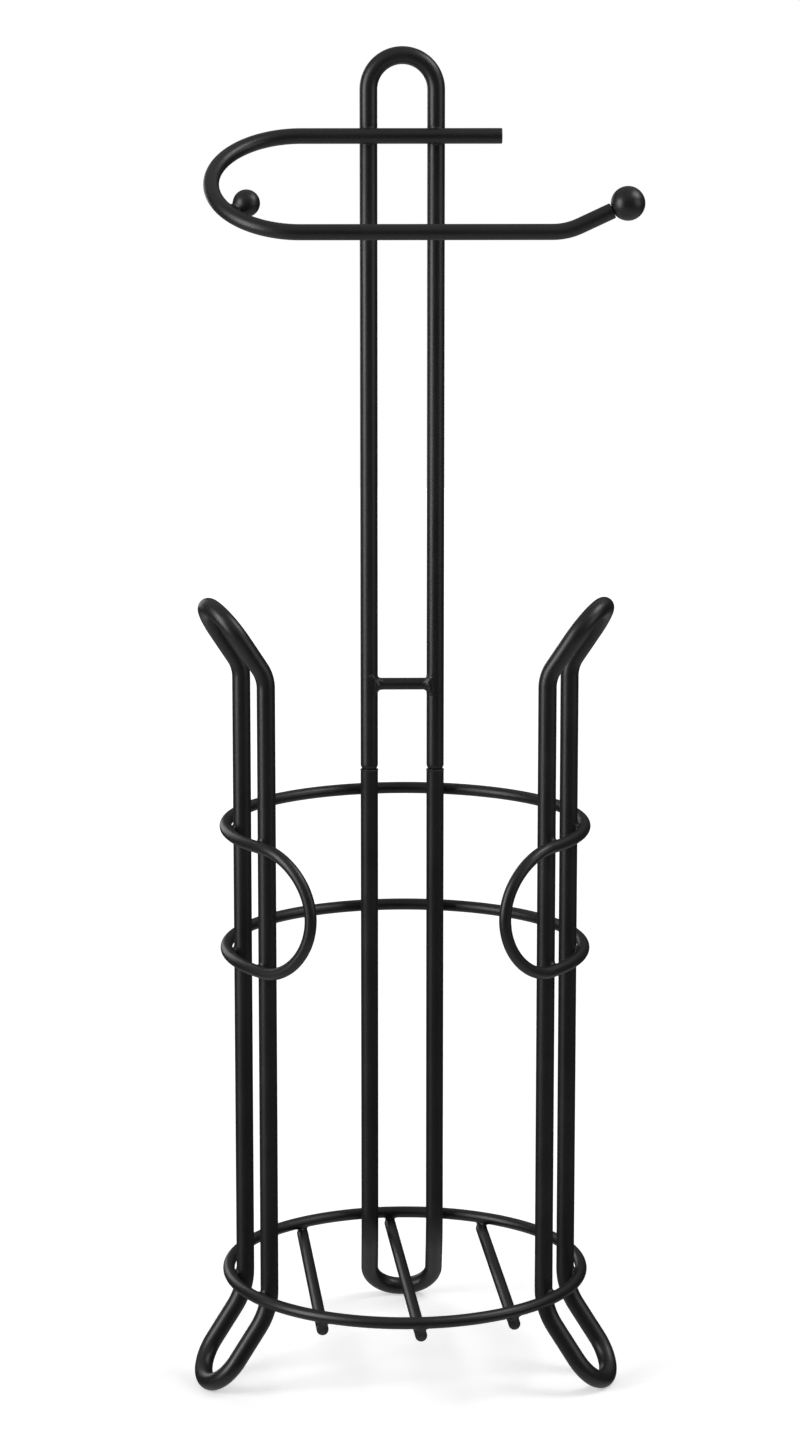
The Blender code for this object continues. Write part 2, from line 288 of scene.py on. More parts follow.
def knee(before: Vector, corner: Vector, after: Vector, radius: float) -> list[Vector]:
    """The bend that eases the corner of two straights.

    Args:
        before: A point on the first straight.
        corner: Where the straights would meet.
        after: A point on the second straight.
        radius: Radius of the bend.

    Returns:
        Points round the bend.
    """
    into = (corner - before).normalized()
    away = (after - corner).normalized()
    turn = into.angle(away)
    centre = corner + (away - into).normalized() * (radius / math.cos(turn / 2))
    start = corner - into * radius * math.tan(turn / 2)
    return arc(centre, (start - centre).normalized(), into, radius, turn)


def with_dense_ends(points: Sequence[Vector], length: float, steps: int = 10) -> list[Vector]:
    """Add points near both ends, where a bar's radius changes.

    Args:
        points: Centreline of an open bar.
        length: How much of each end needs the points.
        steps: Points added at each end.

    Returns:
        The centreline with its extra points.
    """
    head = (points[1] - points[0]).normalized()
    tail = (points[-2] - points[-1]).normalized()
    depths = [length * (i / steps) ** 1.5 for i in range(1, steps + 1)]
    return [
        points[0], *(points[0] + head * d for d in depths),
        *points[1:-1],
        *(points[-1] + tail * d for d in reversed(depths)), points[-1],
    ]


def turned_about_z(points: Sequence[Vector], angle: float, centre: Vector) -> list[Vector]:
    """Points turned about the Z axis and moved to a centre."""
    spin = Matrix.Rotation(angle, 3, "Z")
    return [centre + spin @ point for point in points]


# ---- what both trees share

class ShapeTree:
    """A Geometry Nodes tree with named inputs that turns a base mesh into a finished one."""

    FLOATS: tuple[str, ...] = ()
    OTHERS: dict[str, str] = {}

    def __init__(self, name: str) -> None:
        """Build the tree once.

        Args:
            name: Name of the tree.
        """
        self.tree = bpy.data.node_groups.new(name, "GeometryNodeTree")
        inputs = {
            "Geometry": "Geometry", **dict.fromkeys(self.FLOATS, "Float"),
            **self.OTHERS, "Material": "Material",
        }
        new_socket = self.tree.interface.new_socket
        new_socket("Geometry", in_out="OUTPUT", socket_type="NodeSocketGeometry")
        for label, kind in inputs.items():
            new_socket(label, in_out="INPUT", socket_type=f"NodeSocket{kind}")
        self.given = add(self.tree, "NodeGroupInput").outputs
        shape = self.wire_up(self.tree, {label: self.given[label] for label in inputs})
        real = add(self.tree, "GeometryNodeRealizeInstances", {"Geometry": shape})
        dressed = add(self.tree, "GeometryNodeSetMaterial", {
            "Geometry": real, "Material": self.given["Material"],
        })
        add(self.tree, "NodeGroupOutput", {"Geometry": dressed})

    def wire_up(self, tree: NodeTree, known: dict[str, Input]) -> Node:
        """Link the nodes from the inputs to the shape, which each kind of tree does its own way."""
        raise NotImplementedError

    def run(self, base: Mesh, values: dict[str, object]) -> Mesh:
        """Run the tree on a mesh and keep the result as a plain mesh.

        Args:
            base: Mesh the tree starts from.
            values: Value of each named input.

        Returns:
            The finished mesh.
        """
        holder = bpy.data.objects.new(base.name, base)
        bpy.context.scene.collection.objects.link(holder)
        modifier = holder.modifiers.new("build", "NODES")
        modifier.node_group = self.tree
        for item in self.tree.interface.items_tree:
            if item.in_out == "INPUT" and item.name in values:
                modifier[item.identifier] = values[item.name]
        depsgraph = bpy.context.evaluated_depsgraph_get()
        depsgraph.update()
        made = bpy.data.meshes.new_from_object(
            holder.evaluated_get(depsgraph), preserve_all_data_layers=True, depsgraph=depsgraph
        )
        holder.modifiers.clear()
        bpy.data.objects.remove(holder, do_unlink=True)
        made.materials.clear()
        made.materials.append(values["Material"])
        made.polygons.foreach_set("material_index", [0] * len(made.polygons))
        return made


# ---- bars

@dataclass(frozen=True)
class End:
    """How both ends of a bar or tube are finished."""

    lip: float                    # radius left at the very end
    length: float                 # how far back the end starts to draw in
    flare: float = 0.0            # how far the rim stands out
    flare_length: float = 1.0 * MM
    wear_and_highlight: float = 0.0             # how much paler the end is drawn: a thinner coat there, and a painted highlight on the rim
    wear_and_highlight_length: float = 0.6 * MM


@dataclass(frozen=True)
class Bar:
    """Round stock: a solid bar, or a tube where it has a bore."""

    radius: float
    sides: int
    bore: float = 0.0


class BarTree(ShapeTree):
    """Geometry Nodes that sweep round stock along a centreline."""

    FLOATS = (
        "Outer Radius", "Bore Radius", "Lip Radius", "Lip Length", "Flare", "Flare Length",
        "Wear And Highlight", "Wear And Highlight Length", "Floor Level",
    )
    OTHERS = {"Sides": "Int"}

    def wire_up(self, tree: NodeTree, known: dict[str, Input]) -> Node:
        """Link the nodes from centreline to finished bar.

        Args:
            tree: The tree.
            known: Its inputs, to which each step of the arithmetic is added.

        Returns:
            The node that gives the bar.
        """
        known["along"] = add(tree, "GeometryNodeSplineParameter").outputs["Length"]
        known["whole"] = add(tree, "GeometryNodeSplineLength").outputs["Length"]
        known["closed"] = add(tree, "GeometryNodeInputSplineCyclic")
        steps = [
            ("left", "SUBTRACT", "whole", "along"),
            ("nearer", "MINIMUM", "along", "left"),
            ("distance", "ADD", "nearer", "closed"),    # kept large on a ring, which has no end
            ("share", "DIVIDE", "distance", "Lip Length"),
            ("share", "MINIMUM", "share", 1.0),
            ("back", "SUBTRACT", 1.0, "share"),
            ("back", "MULTIPLY", "back", "back"),
            ("ease", "SUBTRACT", 1.0, "back"),
        ]
        for name, radius in (("outer", "Outer Radius"), ("bore", "Bore Radius")):
            steps += [
                (name, "SUBTRACT", radius, "Lip Radius"),
                (name, "MULTIPLY_ADD", name, "ease", "Lip Radius"),
            ]
        for name, amount in (("rim", "Flare"), ("worn_and_highlit", "Wear And Highlight")):    # both fade away from the end
            steps += [
                (name, "DIVIDE", "distance", f"{amount} Length"),
                (name, "MULTIPLY", name, name),
                (name, "MULTIPLY", name, -1.0),
                (name, "EXPONENT", name),
                (name, "MULTIPLY", name, amount),
            ]
        for name, operation, *parts in (*steps, ("outer", "MULTIPLY_ADD", "rim", "ease", "outer")):
            sources = {i: known.get(part, part) for i, part in enumerate(parts)}
            known[name] = add(tree, MATH, sources, operation=operation)

        line = add(tree, "GeometryNodeMeshToCurve", {"Mesh": known["Geometry"]})
        # Paler ends are stored here: partly a thinner coat, partly a painted highlight on rims
        worn_and_highlit = add(tree, "GeometryNodeStoreNamedAttribute", {
            "Geometry": line, "Name": "wear_and_highlight", "Value": known["worn_and_highlit"],
        }, data_type="FLOAT", domain="POINT")
        circle = add(tree, "GeometryNodeCurvePrimitiveCircle", {
            "Resolution": known["Sides"], "Radius": 1.0,
        })
        hollow = add(tree, "FunctionNodeCompare", {
            0: known["Bore Radius"], 1: 0.0,
        }, data_type="FLOAT", operation="GREATER_THAN")
        solid = add(tree, "FunctionNodeBooleanMath", {0: hollow}, operation="NOT")
        skin, bore = (
            add(tree, "GeometryNodeCurveToMesh", {
                "Curve": worn_and_highlit, "Profile Curve": circle, "Scale": known[scale], "Fill Caps": caps,
            })
            for scale, caps in (("outer", solid), ("bore", False))
        )
        lining = add(tree, "GeometryNodeFlipFaces", {"Mesh": bore})
        both = add(tree, "GeometryNodeJoinGeometry")
        for wall in (lining, skin):
            feed(both, {0: wall})
        tube = add(tree, "GeometryNodeMergeByDistance", {"Geometry": both, "Distance": 0.001 * MM})
        chosen = add(tree, "GeometryNodeSwitch", {
            "Switch": hollow, "False": skin, "True": tube,
        }, input_type="GEOMETRY")

        place = add(tree, "GeometryNodeInputPosition")
        split = add(tree, "ShaderNodeSeparateXYZ", {0: place})
        raised = add(tree, MATH, {
            0: split.outputs["Z"], 1: known["Floor Level"],
        }, operation="MAXIMUM")
        level = add(tree, "ShaderNodeCombineXYZ", {
            "X": split.outputs["X"], "Y": split.outputs["Y"], "Z": raised,
        })
        return add(tree, "GeometryNodeSetPosition", {"Geometry": chosen, "Position": level})

    def draw(
        self, name: str, points: Sequence[Vector], bar: Bar, coat: Material,
        end: End | None = None, floor: float = -1.0,
    ) -> Mesh:
        """Sweep a bar along a centreline.

        Args:
            name: Name of the mesh.
            points: The centreline, closed into a ring where no end is given.
            bar: The stock.
            coat: Its finish.
            end: How the ends are finished.
            floor: Height below which the bar is flattened.

        Returns:
            The bar's mesh.
        """
        base = bpy.data.meshes.new(name)
        if end:
            points = with_dense_ends(points, 1.4 * max(end.length, end.flare_length, end.wear_and_highlight_length))
        edges = [(i, i + 1) for i in range(len(points) - 1)]
        if not end:
            edges.append((len(points) - 1, 0))
        base.from_pydata(points, edges, [])
        end = end or End(bar.radius, 1.0 * MM)
        made = self.run(base, {
            "Outer Radius": bar.radius, "Bore Radius": bar.bore, "Sides": bar.sides,
            "Lip Radius": end.lip, "Lip Length": end.length, "Flare": end.flare,
            "Flare Length": end.flare_length, "Wear And Highlight": end.wear_and_highlight, "Wear And Highlight Length": end.wear_and_highlight_length,
            "Floor Level": floor, "Material": coat,
        })
        made.set_sharp_from_angle(angle=CREASE)
        return made


# ---- welds

class Joint(Enum):
    """The ways in which two bars are welded here."""

    HOOP_ON_TUBE = "hoop_on_tube"
    BAR_ON_TUBE = "bar_on_tube"
    WIRE_UNDER_HOOP = "wire_under_hoop"
    WIRE_INTO_TUBE = "wire_into_tube"
    BALL_IN_LOOP = "ball_in_loop"


@dataclass(frozen=True)
class Seam:
    """Sizes of one kind of welded joint, in the joint's own axes."""

    joint: Joint
    first: float                  # radius of the hoop, bar or wire
    second: float                 # radius of the tube, cross wire or ball
    offset: Vector                # a point on the second part's axis
    ring: float = 0.0             # radius of the hoop's circle
    low: Vector = field(default_factory=Vector)
    high: Vector = field(default_factory=Vector)
    bead: float = 3.2 * MM        # how wide the two surfaces are bridged
    front: float = 0.0            # how much wider for each metre towards the front
    lumps: float = 0.12 * MM
    voxel: float = 0.3 * MM


class WeldTree(ShapeTree):
    """Geometry Nodes that bridge two round surfaces with a lumpy weld fillet.

    The fillet is the solid between the two parts' surfaces and their smooth union. It is
    sunk slightly under both surfaces, so that its edges feather out.
    """

    FLOATS = ("First Radius", "Second Radius", "Ring Radius", "Bead", "Front", "Lumps", "Seed")
    OTHERS = dict.fromkeys(("Offset", "Low", "High", "Cells"), "Vector")
    SINK = 0.05 * MM
    SKIN = 0.45 * MM
    LUMP_SIZE = 2.2 * MM

    def __init__(self, joint: Joint) -> None:
        """Build the tree for one kind of joint."""
        self.joint = joint
        super().__init__(f"weld_{joint.value}")

    def length(self, *parts: Input) -> NodeSocket:
        """Length of the vector with these parts."""
        vector = add(self.tree, "ShaderNodeCombineXYZ", dict(enumerate(parts)))
        return add(self.tree, "ShaderNodeVectorMath", {0: vector}, operation="LENGTH").outputs["Value"]

    def first_part(self, here: Node) -> NodeSocket:
        """Distance from the middle of the hoop, or of the straight bar along X.

        Args:
            here: The place's coordinates.

        Returns:
            The socket that gives it.
        """
        x, y, z = (here.outputs[axis] for axis in "XYZ")
        if self.joint in (Joint.BAR_ON_TUBE, Joint.WIRE_INTO_TUBE):
            return self.length(y, z)
        from_ring = add(self.tree, MATH, {
            0: self.length(x, y), 1: self.given["Ring Radius"],
        }, operation="SUBTRACT")
        return self.length(from_ring, z)

    def second_part(self, there: Node) -> NodeSocket:
        """Distance from the middle of the tube, cross wire or ball, from the offset's coordinates."""
        axes = {Joint.BALL_IN_LOOP: "XYZ", Joint.WIRE_UNDER_HOOP: "XZ"}.get(self.joint, "XY")
        return self.length(*(there.outputs[axis] for axis in axes))

    def wire_up(self, tree: NodeTree, known: dict[str, Input]) -> Node:
        """Link the nodes from distance fields to finished beads.

        Args:
            tree: The tree.
            known: Its inputs, to which each step of the arithmetic is added.

        Returns:
            The node that gives the beads.
        """
        place = add(tree, "GeometryNodeInputPosition")
        moved = add(tree, "ShaderNodeVectorMath", {0: place, 1: known["Offset"]}, operation="SUBTRACT")
        here, there = (add(tree, "ShaderNodeSeparateXYZ", {0: spot}) for spot in (place, moved))
        known |= {
            "first": self.first_part(here), "second": self.second_part(there),
            "x": here.outputs["X"], "y": here.outputs["Y"], "past end": there.outputs["Y"],
        }
        steps = [
            ("a", "SUBTRACT", "first", "First Radius"),
            ("b", "SUBTRACT", "second", "Second Radius"),
        ]
        if self.joint is Joint.WIRE_UNDER_HOOP:    # the wire stops at its cut end
            steps.append(("b", "MAXIMUM", "b", "past end"))
        if self.joint is Joint.WIRE_INTO_TUBE:     # the bar starts at the tube's side
            steps += [("start", "SUBTRACT", "Second Radius", "x"), ("a", "MAXIMUM", "a", "start")]
        steps += [
            ("nearest", "MINIMUM", "a", "b"),
            ("apart", "SUBTRACT", "a", "b"),
            ("apart", "ABSOLUTE", "apart"),
            ("forward", "MULTIPLY", "y", -1.0),
            ("forward", "MAXIMUM", "forward", 0.0),
            ("width", "MULTIPLY_ADD", "forward", "Front", "Bead"),
            ("bridged", "SUBTRACT", "width", "apart"),
            ("bridged", "MAXIMUM", "bridged", 0.0),
            ("fill", "MULTIPLY", "bridged", "bridged"),
            ("fill", "DIVIDE", "fill", "width"),
            ("union", "MULTIPLY_ADD", "fill", -0.25, "nearest"),
            ("above", "ADD", "union", self.SINK),
            ("below", "MULTIPLY_ADD", "nearest", -1.0, -self.SKIN),
            ("beyond", "SUBTRACT", "apart", "width"),
            ("outside", "MAXIMUM", "above", "below"),
            ("outside", "MAXIMUM", "outside", "beyond"),
            ("inside", "MULTIPLY", "outside", -1.0),
        ]
        for name, operation, *parts in steps:
            sources = {i: known.get(part, part) for i, part in enumerate(parts)}
            known[name] = add(tree, MATH, sources, operation=operation)

        cells = add(tree, "ShaderNodeSeparateXYZ", {0: known["Cells"]})
        volume = add(tree, "GeometryNodeVolumeCube", {
            "Density": known["inside"], "Background": -1.0 * MM, "Min": known["Low"],
            "Max": known["High"], **{f"Resolution {axis}": cells.outputs[axis] for axis in "XYZ"},
        })
        bead = add(tree, "GeometryNodeVolumeToMesh", {"Volume": volume, "Threshold": 0.0})
        smooth = add(tree, "GeometryNodeSetShadeSmooth", {"Geometry": bead})
        turn = add(tree, "GeometryNodeInputNamedAttribute", {"Name": "turn"}, data_type="FLOAT_VECTOR")
        beads = add(tree, "GeometryNodeInstanceOnPoints", {
            "Points": known["Geometry"], "Instance": smooth, "Rotation": turn,
        })
        real = add(tree, "GeometryNodeRealizeInstances", {"Geometry": beads})

        noise = add(tree, "ShaderNodeTexNoise", {
            "Scale": 1.0 / self.LUMP_SIZE, "Detail": 1.0, "W": known["Seed"],
        }, noise_dimensions="4D")
        centred = add(tree, MATH, {0: noise, 1: 0.5}, operation="SUBTRACT")
        height = add(tree, MATH, {0: centred, 1: known["Lumps"]}, operation="MULTIPLY")
        push = add(tree, "ShaderNodeVectorMath", {
            0: add(tree, "GeometryNodeInputNormal"), "Scale": height,
        }, operation="SCALE")
        return add(tree, "GeometryNodeSetPosition", {"Geometry": real, "Offset": push})

    def draw(
        self, name: str, seam: Seam, places: Sequence[Matrix], coat: Material, seed: float = 0.0
    ) -> Mesh:
        """Lay the same joint's weld at several places.

        Args:
            name: Name of the mesh.
            seam: The joint's sizes.
            places: Where the joint's axes go.
            coat: The finish.
            seed: Changes the lumps.

        Returns:
            One mesh that holds all the beads.
        """
        base = bpy.data.meshes.new(name)
        base.from_pydata([place.to_translation() for place in places], [], [])
        turns = base.attributes.new("turn", "FLOAT_VECTOR", "POINT")
        for item, place in zip(turns.data, places):
            item.vector = place.to_euler()
        return self.run(base, {
            "First Radius": seam.first, "Second Radius": seam.second, "Ring Radius": seam.ring,
            "Offset": seam.offset, "Low": seam.low, "High": seam.high,
            "Cells": [float(math.ceil(side / seam.voxel)) for side in seam.high - seam.low],
            "Bead": seam.bead, "Front": seam.front, "Lumps": 2.0 * seam.lumps, "Seed": seed,
            "Material": coat,
        })


# ---- turned parts

def baked(shape: bmesh.types.BMesh, name: str, material: Material) -> Mesh:
    """Turn mesh data being edited into a mesh.

    Args:
        shape: The data, which is freed.
        name: Name of the mesh.
        material: Its finish.

    Returns:
        The mesh.
    """
    mesh = bpy.data.meshes.new(name)
    shape.to_mesh(mesh)
    shape.free()
    mesh.materials.append(material)
    return mesh


def turned(
    name: str, profile: Profile, place: Matrix, material: Material, segments: int = 64
) -> Mesh:
    """A solid turned on the lathe.

    Args:
        name: Name of the mesh.
        profile: Radius and height of each corner, from one pole to the other.
        place: Where the part's axis goes.
        material: Its finish.
        segments: Steps round the axis.

    Returns:
        The turned mesh.
    """
    shape = bmesh.new()
    rings = []
    for radius, height in profile:
        count = segments if radius > 0 else 1
        angles = [2 * math.pi * i / count for i in range(count)]
        rings.append([
            shape.verts.new(place @ Vector((radius * math.cos(a), radius * math.sin(a), height)))
            for a in angles
        ])
    for low, high in zip(rings, rings[1:]):
        for i in range(segments):
            j = (i + 1) % segments
            corners = [low[i % len(low)], low[j % len(low)], high[j % len(high)], high[i % len(high)]]
            shape.faces.new(list(dict.fromkeys(corners)))
    bmesh.ops.recalc_face_normals(shape, faces=shape.faces)
    for face in shape.faces:
        face.smooth = True
    mesh = baked(shape, name, material)
    mesh.set_sharp_from_angle(angle=CREASE)
    return mesh


def along(axis: Vector, place: Vector) -> Matrix:
    """Axes at a place whose Z points along an axis."""
    return Matrix.Translation(place) @ axis.to_track_quat("Z", "Y").to_matrix().to_4x4()


def joined(name: str, meshes: Sequence[Mesh]) -> Mesh:
    """Several meshes of one material as one.

    Args:
        name: Name of the new mesh.
        meshes: The meshes, which are used up.

    Returns:
        The joined mesh.
    """
    shape = bmesh.new()
    for mesh in meshes:
        shape.from_mesh(mesh)
    return baked(shape, name, meshes[0].materials[0])


# ---- what the parts share

@dataclass(frozen=True)
class Stock:
    """The bars the holder is made from, and the clearance left at its welds."""

    tube: Bar = Bar(4.0 * MM, 40)
    open_tube: Bar = Bar(4.0 * MM, 40, 3.0 * MM)
    wire: Bar = Bar(2.65 * MM, 32)
    rod: Bar = Bar(3.5 * MM, 40)
    gap: float = 0.3 * MM


@dataclass(frozen=True)
class Datum:
    """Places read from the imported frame."""

    axis: Vector                  # foot of the basket's axis
    ring: float                   # radius of the basket's wire circle
    ring_z: float
    guard_low: float
    guard_high: float
    seam_z: float
    post_y: float                 # the plane of the rear tubes, from the basket's axis
    half_pitch: float             # from the middle to each rear tube

    @classmethod
    def read(cls, stock: Stock) -> "Datum":
        """Read the places from the boxes of the CAD nodes.

        Args:
            stock: The bars the holder is made from.

        Returns:
            The places.
        """
        low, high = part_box("bottom_ring")
        guard_low, guard_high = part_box("guard_hoop")
        post_low, post_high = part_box("upper_post")
        middle = (low + high) / 2
        return cls(
            axis=Vector((middle.x, middle.y, 0.0)),
            ring=(high.x - low.x) / 2 - stock.wire.radius,
            ring_z=middle.z,
            guard_low=guard_low.z + stock.wire.radius,
            guard_high=guard_high.z - stock.wire.radius,
            seam_z=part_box("rear_leg_frame")[1].z,
            post_y=(post_low.y + post_high.y) / 2 - middle.y,
            half_pitch=(post_high.x - post_low.x) / 2 - stock.tube.radius,
        )

    @property
    def post(self) -> Vector:
        """Foot of the middle between the two rear tubes."""
        return self.axis + Vector((0.0, self.post_y, 0.0))


@dataclass
class SubAssembly:
    """Pieces that ride on one body of the frame."""

    stock: Stock
    datum: Datum
    bars: BarTree
    coat: Material
    steel: Material
    body: str = ""
    made: list[Object] = field(default_factory=list)

    def add(self, name: str, mesh: Mesh, *nodes: str, slot: Slot = Slot.COAT) -> None:
        """Turn a mesh into a piece of the object.

        Args:
            name: Name of the piece.
            mesh: Its mesh, in the frame's own coordinates.
            *nodes: CAD nodes it stands for.
            slot: Material slot its finish belongs to. Not used.
        """
        mesh.name = name
        piece = bpy.data.objects.new(name, mesh)
        bpy.context.scene.collection.objects.link(piece)
        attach(piece, self.body)
        if nodes:
            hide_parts(*nodes)
        self.made.append(piece)

    def report(self) -> None:
        """Log each piece with its number of faces."""
        for piece in self.made:
            LOG.info("%s: %s, %d faces", type(self).__name__, piece.name, len(piece.data.polygons))


# ---- leg frames

@dataclass(frozen=True)
class LeaningEnd:
    """A foot or a head: two eased knees and the hairpin between them."""

    level: float                  # height of the knees
    length: float                 # from the knees to the tip of the hairpin
    lean: float                   # how far the hairpin leans outwards
    knee: float                   # radius of the knees
    upward: float                 # 1 for a head, -1 for a foot


@dataclass
class LegFrames(SubAssembly):
    """Two closed side frames and the open rear frame, all bent from one tube."""

    body: str = "lower_stand"
    side_angle: float = math.radians(20.7)
    side_pitch: float = 31.9 * MM
    foot: LeaningEnd = LeaningEnd(38.5 * MM, 42.4 * MM, math.radians(35.0), 30.0 * MM, -1.0)
    head: LeaningEnd = LeaningEnd(324.8 * MM, 35.4 * MM, math.radians(33.7), 16.0 * MM, 1.0)
    # The pale rim is partly a thinner coat and partly a painted highlight
    rim: End = End(
        3.8 * MM, 0.25 * MM, flare=0.16 * MM, flare_length=0.9 * MM, wear_and_highlight=1.0, wear_and_highlight_length=0.5 * MM
    )

    @property
    def circle(self) -> float:
        """Radius of the circle on which all the tubes stand."""
        return self.datum.ring - self.stock.wire.radius - self.stock.gap - self.stock.tube.radius

    def plane(self, half: float) -> float:
        """Distance from the basket's axis to the plane of two tubes."""
        return math.sqrt(self.circle ** 2 - half ** 2)

    def tube_angles(self) -> list[float]:
        """Where the six tubes stand round the basket's axis.

        Returns:
            Their angles from X towards Y.
        """
        side = math.asin(self.side_pitch / 2 / self.circle)
        rear = math.asin(self.datum.half_pitch / self.circle)
        middles = [(-self.side_angle, side), (math.pi + self.side_angle, side), (math.pi / 2, rear)]
        return [middle + sign * half for middle, half in middles for sign in (-1.0, 1.0)]

    def line(self, end: LeaningEnd, half: float) -> list[Vector]:
        """Centreline of a foot or a head.

        Args:
            end: Its sizes.
            half: Half the distance between the two tubes.

        Returns:
            Points from the +Y tube round to the -Y one, for a frame that faces +X.
        """
        middle = Vector((self.plane(half), 0.0, end.level))
        reach = Vector((math.sin(end.lean), 0.0, end.upward * math.cos(end.lean)))
        side = Vector((0.0, 1.0, 0.0))
        bend = arc(middle + reach * (end.length - half), side, reach, half, math.pi)
        first, last = (
            knee(corner - UP * end.upward, corner, toe, end.knee)
            for corner, toe in ((middle + side * half, bend[0]), (middle - side * half, bend[-1]))
        )
        return first + bend + last[::-1]

    def build(self) -> None:
        """Build the three frames."""
        half = self.side_pitch / 2
        loop = self.line(self.foot, half) + self.line(self.head, half)[::-1]
        for name, node, turn in (
            ("left_leg_loop", "left_side_frame", math.pi + self.side_angle),
            ("right_leg_loop", "right_side_frame", -self.side_angle),
        ):
            line = turned_about_z(loop, turn, self.datum.axis)
            self.add(name, self.bars.draw(name, line, self.stock.tube, self.coat, floor=0.0), node)

        half = self.datum.half_pitch
        ends = [Vector((self.plane(half), side * half, self.datum.seam_z)) for side in (1.0, -1.0)]
        line = [ends[0], *self.line(self.foot, half), ends[1]]
        line = turned_about_z(line, math.pi / 2, self.datum.axis)
        mesh = self.bars.draw("rear_leg_tube", line, self.stock.open_tube, self.coat, self.rim, 0.0)
        self.add("rear_leg_tube", mesh, "rear_leg_frame")


# ---- basket

@dataclass
class WireBasket(SubAssembly):
    """Guard, bottom ring and floor wires, with the welds that hold them to the legs."""

    body: str = "lower_stand"
    tube_angles: Sequence[float] = ()
    tube_circle: float = 0.0
    guard_end: float = math.radians(58.4)
    floor_pitch: float = 42.3 * MM
    floor_reach: float = 81.0 * MM
    floor_turn: float = math.radians(4.0)
    # The pale cut ends are partly a thinner coat and partly a painted highlight
    cut: End = End(2.4 * MM, 0.3 * MM, wear_and_highlight=1.0, wear_and_highlight_length=0.45 * MM)

    def on_ring(self, angle: float, z: float) -> Vector:
        """A point on the basket's wire circle."""
        ring = self.datum.ring
        return self.datum.axis + Vector((ring * math.cos(angle), ring * math.sin(angle), z))

    def run(self, start: float, end: float, z: float) -> list[Vector]:
        """Points along the wire circle from one angle to another."""
        count = math.ceil(abs(end - start) / RING_STEP)
        return [self.on_ring(start + (end - start) * i / count, z) for i in range(count + 1)]

    def guard_line(self) -> list[Vector]:
        """Centreline of the guard.

        Returns:
            Two hoops at two heights, joined at the front by a C-bend on either side.
        """
        low, high, ring = self.datum.guard_low, self.datum.guard_high, self.datum.ring
        middle, bend = (high + low) / 2, (high - low) / 2
        right = -(self.guard_end - bend / ring)
        left = math.pi - right
        count = math.ceil(math.pi / BEND_STEP)
        turns = [math.pi / 2 - math.pi * i / count for i in range(1, count)]
        points = []
        for start, end, level, sign in ((right, left, high, 1.0), (left, right, low, -1.0)):
            points += self.run(start, end, level)
            points += [
                self.on_ring(end + sign * bend / ring * math.cos(a), middle + sign * bend * math.sin(a))
                for a in turns
            ]
        return points

    def floor_wires(self) -> list[tuple[str, float, float]]:
        """The three floor wires.

        Returns:
            Name, shift from the middle and half length of each.
        """
        shifts = {"left": -self.floor_pitch, "middle": 0.0, "right": self.floor_pitch}
        return [
            (name, shift, math.sqrt(self.floor_reach ** 2 - shift ** 2)) for name, shift in shifts.items()
        ]

    def build(self) -> None:
        """Build the wires and their welds."""
        wire = self.stock.wire
        guard = self.bars.draw("guard_wire", self.guard_line(), wire, self.coat)
        self.add("guard_wire", guard, "guard_hoop")
        ring = self.run(0.0, 2 * math.pi, self.datum.ring_z)[:-1]
        self.add("base_ring", self.bars.draw("base_ring", ring, wire, self.coat), "bottom_ring")
        drop = 2 * wire.radius + self.stock.gap
        for name, shift, reach in self.floor_wires():
            ends = [Vector((shift, side * reach, self.datum.ring_z - drop)) for side in (-1.0, 1.0)]
            line = turned_about_z(ends, self.floor_turn, self.datum.axis)
            mesh = self.bars.draw(f"base_wire_{name}", line, wire, self.coat, self.cut)
            self.add(f"base_wire_{name}", mesh, f"floor_wire_{name}")
        self.weld_hoops()
        self.weld_floor(drop)

    def weld_hoops(self) -> None:
        """Weld the guard and the bottom ring to the six tubes."""
        tube = self.stock.tube.radius
        seam = Seam(
            Joint.HOOP_ON_TUBE, self.stock.wire.radius, tube, Vector((self.tube_circle, 0.0, 0.0)),
            self.datum.ring,
            Vector((self.tube_circle - tube, -8.0 * MM, -7.0 * MM)),
            Vector((self.datum.ring + 3.2 * MM, 8.0 * MM, 7.0 * MM)),
            bead=2.3 * MM, lumps=0.1 * MM, voxel=0.25 * MM,
        )
        tree = WeldTree(Joint.HOOP_ON_TUBE)
        for name, heights in (
            ("guard_welds", (self.datum.guard_low, self.datum.guard_high)),
            ("base_ring_welds", (self.datum.ring_z,)),
        ):
            places = [
                Matrix.Translation(self.datum.axis + UP * z) @ Matrix.Rotation(angle, 4, "Z")
                for z in heights
                for angle in self.tube_angles
            ]
            self.add(name, tree.draw(name, seam, places, self.coat))

    def weld_floor(self, drop: float) -> None:
        """Weld the floor wires under the bottom ring.

        Args:
            drop: How far the floor wires hang below the ring.
        """
        wire = self.stock.wire.radius
        tree = WeldTree(Joint.WIRE_UNDER_HOOP)
        meshes = []
        span = Vector((8.0, 8.0, 5.0)) * MM
        places = [
            Matrix.Translation(self.datum.axis + UP * self.datum.ring_z)
            @ Matrix.Rotation(self.floor_turn + half_turn, 4, "Z")
            for half_turn in (0.0, math.pi)
        ]
        for name, shift, reach in self.floor_wires():
            middle = Vector((shift, math.sqrt(self.datum.ring ** 2 - shift ** 2), -drop / 2))
            seam = Seam(
                Joint.WIRE_UNDER_HOOP, wire, wire, Vector((shift, reach, -drop)), self.datum.ring,
                middle - span, middle + span, bead=2.6 * MM,
            )
            meshes.append(tree.draw(f"floor_weld_{name}", seam, places, self.coat))
        self.add("base_wire_welds", joined("base_wire_welds", meshes))


# ---- pins

